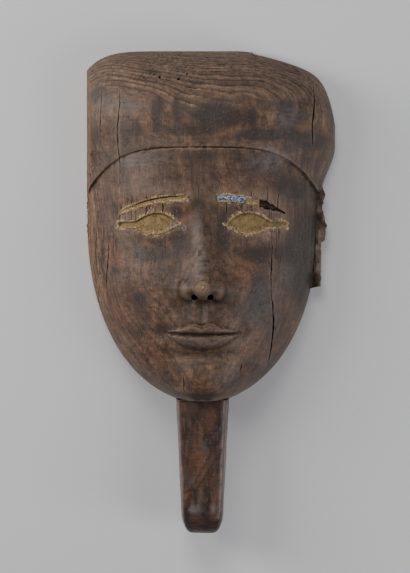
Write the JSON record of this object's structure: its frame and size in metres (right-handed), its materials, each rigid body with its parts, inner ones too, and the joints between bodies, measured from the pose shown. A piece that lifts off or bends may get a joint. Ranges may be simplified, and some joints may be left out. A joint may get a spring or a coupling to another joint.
{
  "type": "carved wooden coffin mask",
  "caption": "Carved wooden face from an Egyptian mummy case, with headband, inlay pockets and a butted false beard, lying on its flat back.",
  "frame": {"origin": "on the flat back, behind the point midway between the eyes", "axes": "+Z out of the face, +Y from the chin to the crown, +X to the viewer's right"},
  "size_m": [0.2285, 0.4393, 0.1073],
  "materials": {
    "mask_wood": "dark, dry, grey-brown patina with open grain",
    "beard_wood": "dark red-brown, rubbed smooth",
    "mortar": "crumbly ochre lime mortar, matt",
    "blue_inlay": "granular blue, mostly matt"
  },
  "bodies": {
    "root": {"mask": "mask_wood", "false_beard": "beard_wood", "eye_mortar_left": "mortar", "eye_mortar_right": "mortar", "brow_mortar_left": "mortar", "brow_mortar_right": "mortar", "brow_inlay": "blue_inlay"}
  },
  "joints": []
}
